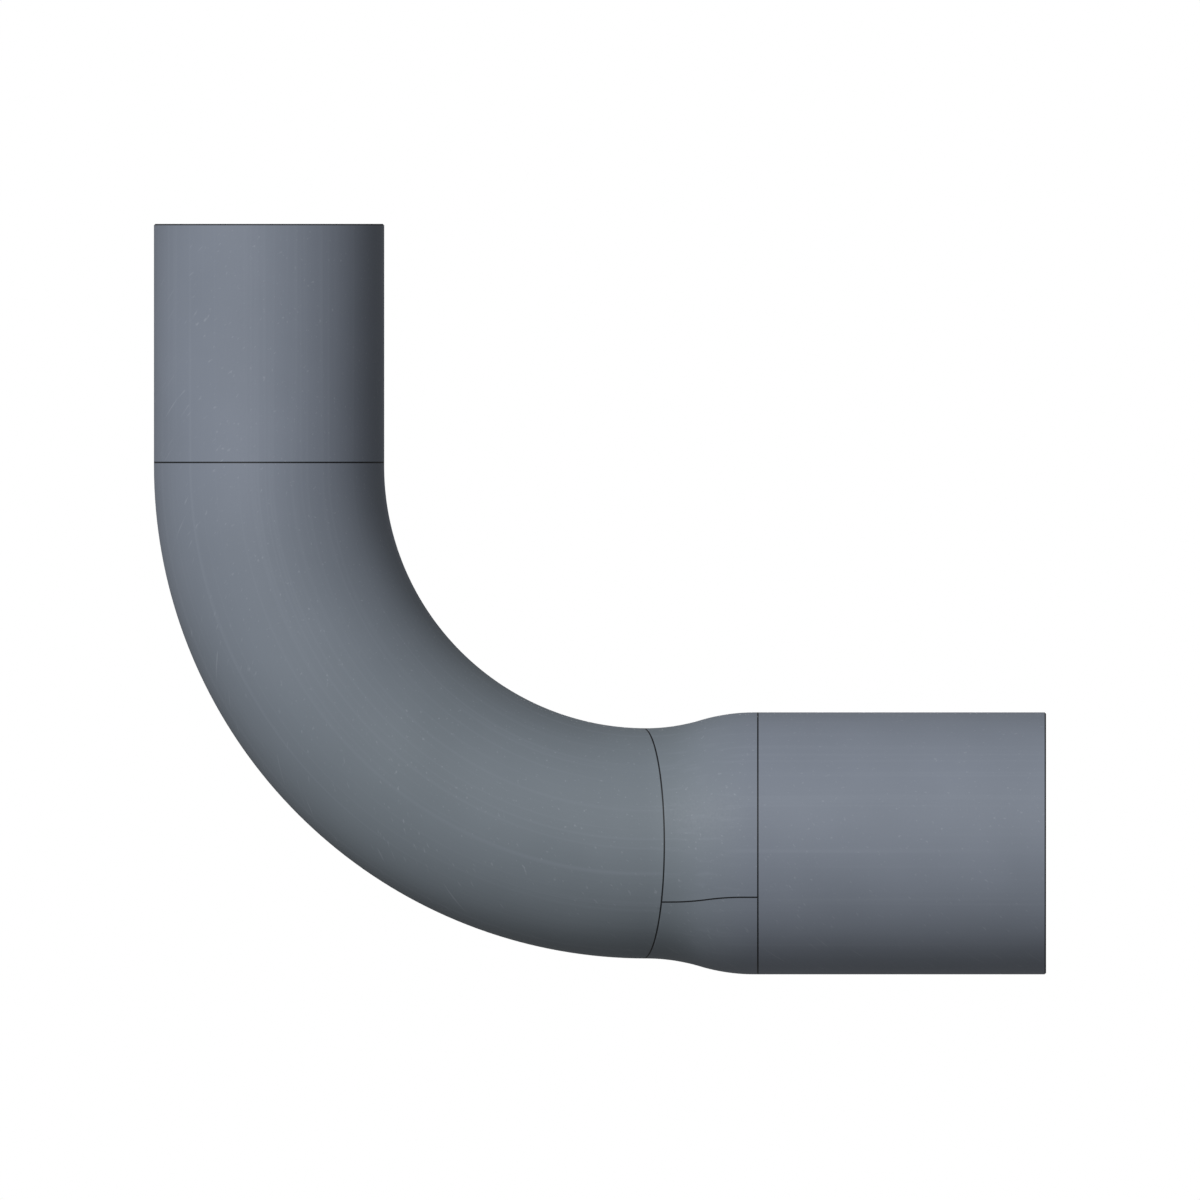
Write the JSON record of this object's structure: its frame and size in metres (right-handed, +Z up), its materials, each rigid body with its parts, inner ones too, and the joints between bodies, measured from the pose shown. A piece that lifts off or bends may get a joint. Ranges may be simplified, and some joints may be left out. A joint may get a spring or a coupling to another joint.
{
  "type": "pvc conduit elbow",
  "caption": "Grey ninety degree electrical conduit elbow with a plain leg, a tight bend, a flare and a belled socket that takes the next conduit's plain end.",
  "frame": {"origin": "centre of the belled socket's mouth, on the flat end face", "axes": "+X out of the socket's mouth along its axis, +Z up along the plain leg to its open end, so the elbow lies in the XZ plane"},
  "size_m": [0.1869, 0.055, 0.1573],
  "materials": {
    "rigid_pvc": "satin",
    "solvent_cement": "satin"
  },
  "bodies": {
    "root": {"plain_leg": "rigid_pvc", "bend": "rigid_pvc", "flare_collar": "rigid_pvc", "bell_socket": "rigid_pvc", "leg_joint_cement": "solvent_cement", "bend_joint_cement": "solvent_cement", "socket_joint_cement": "solvent_cement", "flare_seam_cement": "solvent_cement"}
  },
  "joints": []
}
